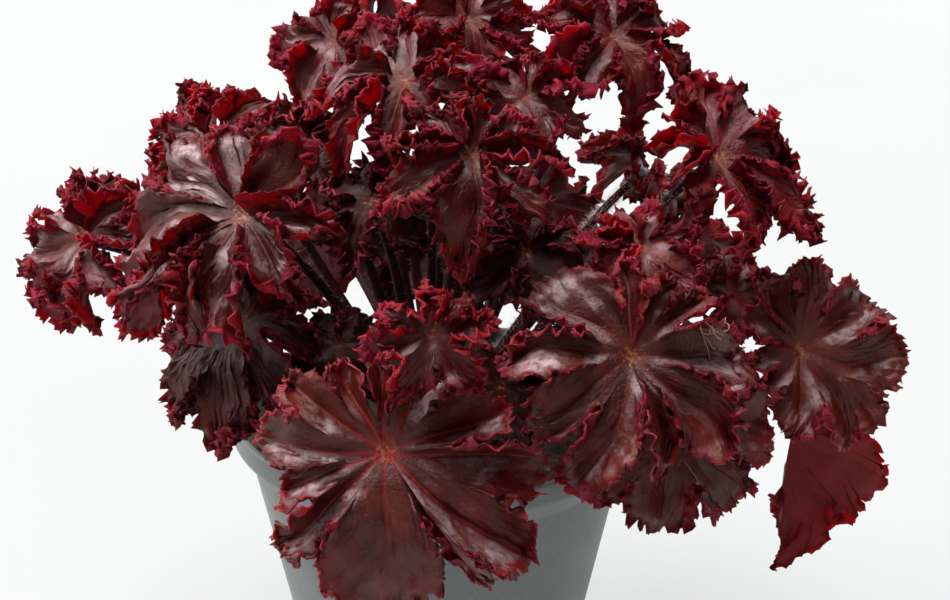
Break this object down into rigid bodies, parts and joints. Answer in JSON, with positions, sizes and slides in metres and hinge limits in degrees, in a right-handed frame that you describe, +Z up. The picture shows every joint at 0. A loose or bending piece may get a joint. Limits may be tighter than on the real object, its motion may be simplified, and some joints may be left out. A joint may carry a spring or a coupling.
{
  "type": "potted heuchera",
  "caption": "Heuchera (coral bells) in a tapered pot: a low dome of dark, deeply ruffled leaves on thin stalks, rising from a crown set in the soil.",
  "frame": {"origin": "centre of the underside of the pot, on the surface it stands on", "axes": "+Z up; -Y is the plant's front, the side with the two largest low leaves; +X to the right seen from the front"},
  "size_m": [0.298, 0.2611, 0.2553],
  "materials": {
    "pot": "satin",
    "soil": "matte",
    "crown": "matte",
    "leaf": "satin",
    "young_leaf": "satin"
  },
  "bodies": {
    "root": {"pot": "pot", "soil": "soil", "crown": "crown", "leaf_front_low": "leaf", "leaf_front_young": "young_leaf", "leaf_front_right": "leaf", "leaf_right_low": "leaf", "leaf_front_under": "young_leaf", "leaf_left_low": "leaf", "leaf_right_far": "leaf", "leaf_right_hang": "young_leaf", "leaf_right_mid": "young_leaf", "leaf_right_high": "leaf", "leaf_right_small": "young_leaf", "leaf_left_big": "leaf", "leaf_left_far": "leaf", "leaf_left_back": "leaf", "leaf_top_left": "leaf", "leaf_top_left_back": "young_leaf", "leaf_centre_high": "leaf", "leaf_top_right": "leaf", "leaf_top_mid": "young_leaf", "leaf_upper_mid": "young_leaf", "leaf_mid_left": "young_leaf", "leaf_mid_back": "young_leaf", "leaf_mid_centre": "young_leaf", "leaf_deep_left": "young_leaf", "leaf_deep_right": "young_leaf", "leaf_deep_back": "leaf", "leaf_back_right_high": "leaf", "leaf_back_right_low": "young_leaf", "leaf_back_low": "leaf", "leaf_back_left_low": "leaf", "leaf_back_left": "young_leaf", "leaf_back_top": "young_leaf"}
  },
  "joints": []
}
